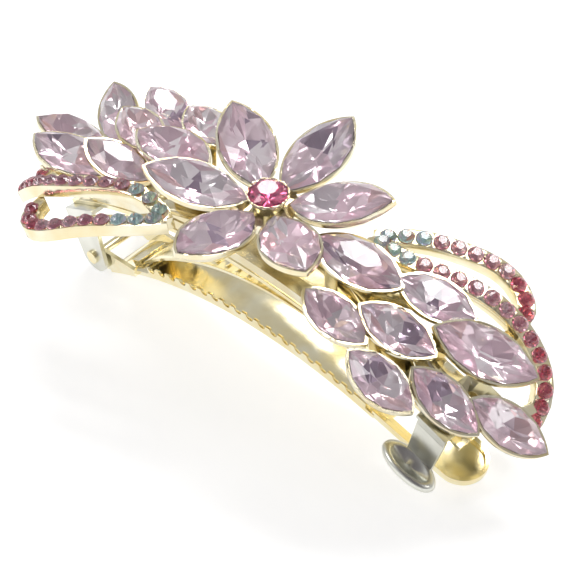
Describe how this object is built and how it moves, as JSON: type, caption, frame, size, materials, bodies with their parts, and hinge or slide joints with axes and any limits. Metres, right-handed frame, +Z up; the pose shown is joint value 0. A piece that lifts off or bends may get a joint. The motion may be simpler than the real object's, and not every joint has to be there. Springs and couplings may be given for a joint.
{
  "type": "rhinestone hair clip",
  "caption": "Arched spring barrette with a hinged lever, a tension leaf and a squeeze clasp, under a cast flower-and-leaf ornament set with faceted glass stones.",
  "frame": {"origin": "bottom centre of the closed clip's bounding box", "axes": "+X along the clip from the hinge to the clasp, +Y across it, +Z up towards the stones"},
  "size_m": [0.1038, 0.0458, 0.0398],
  "materials": {
    "cast_gold": "bright champagne-gold plating on cast zinc alloy",
    "gilt_steel": "pale gold plating on pressed spring steel",
    "nickel_steel": "polished nickel-grey plating on spring steel",
    "pink_stone": "faceted foil-backed pale lavender-pink glass",
    "centre_stone": "faceted foil-backed rose glass",
    "aurora_stone": "faceted foil-backed glass with an iridescent coating",
    "rose_stone": "faceted foil-backed rose glass",
    "ruby_stone": "faceted foil-backed dark ruby glass"
  },
  "bodies": {
    "clip_base": {"base_plate": "gilt_steel", "hinge_bracket": "nickel_steel", "bracket_rivets": "gilt_steel", "hinge_pin": "gilt_steel", "clasp_bridge": "nickel_steel", "clasp_rivets": "gilt_steel", "spine": "cast_gold", "ornament_rivets": "gilt_steel", "flower_frame": "cast_gold", "centre_cup": "cast_gold", "centre_stone": "centre_stone", "petal_1": "pink_stone", "petal_2": "pink_stone", "petal_3": "pink_stone", "petal_4": "pink_stone", "petal_5": "pink_stone", "petal_6": "pink_stone", "right_spray": "cast_gold", "right_strand_rails": "cast_gold", "right_leaf_1": "pink_stone", "right_leaf_2": "pink_stone", "right_leaf_3": "pink_stone", "right_leaf_4": "pink_stone", "right_leaf_5": "pink_stone", "right_leaf_6": "pink_stone", "right_leaf_7": "pink_stone", "right_leaf_8": "pink_stone", "right_aurora_stones": "aurora_stone", "right_rose_stones": "rose_stone", "right_ruby_stones": "ruby_stone", "left_spray": "cast_gold", "left_strand_rails": "cast_gold", "left_leaf_1": "pink_stone", "left_leaf_2": "pink_stone", "left_leaf_3": "pink_stone", "left_leaf_4": "pink_stone", "left_leaf_5": "pink_stone", "left_leaf_6": "pink_stone", "left_leaf_7": "pink_stone", "left_leaf_8": "pink_stone", "left_aurora_stones": "aurora_stone", "left_rose_stones": "rose_stone", "left_ruby_stones": "ruby_stone"},
    "lever": {"lever": "gilt_steel", "leaf_anchor": "gilt_steel"},
    "tension_leaf": {"tension_leaf": "gilt_steel"},
    "clasp_tab_near": {"clasp_tab_near": "nickel_steel"},
    "clasp_tab_far": {"clasp_tab_far": "nickel_steel"}
  },
  "joints": [
    {"name": "lever_swing", "type": "hinge", "parent": "clip_base", "child": "lever", "pos_m": [-0.03968, 0, 0.003], "axis": [0, 1, 0], "range_deg": [0, 75]},
    {"name": "leaf_flex", "type": "hinge", "parent": "lever", "child": "tension_leaf", "pos_m": [-0.03028, 0, 0.0046], "axis": [0, 1, 0], "range_deg": [0, 4], "stiffness_Nm_per_rad": 0.5},
    {"name": "clasp_far_flex", "type": "hinge", "parent": "clip_base", "child": "clasp_tab_far", "pos_m": [0.03887, 0.00565, 0.01365], "axis": [0.9288, 0, -0.3705], "range_deg": [0, 5], "stiffness_Nm_per_rad": 0.5},
    {"name": "clasp_near_flex", "type": "hinge", "parent": "clip_base", "child": "clasp_tab_near", "pos_m": [0.03887, -0.00565, 0.01365], "axis": [0.9288, 0, -0.3705], "range_deg": [-5, 0], "stiffness_Nm_per_rad": 0.5}
  ],
  "couplings": [
    {"joint": "clasp_near_flex", "follows": "clasp_far_flex", "ratio": -1}
  ]
}
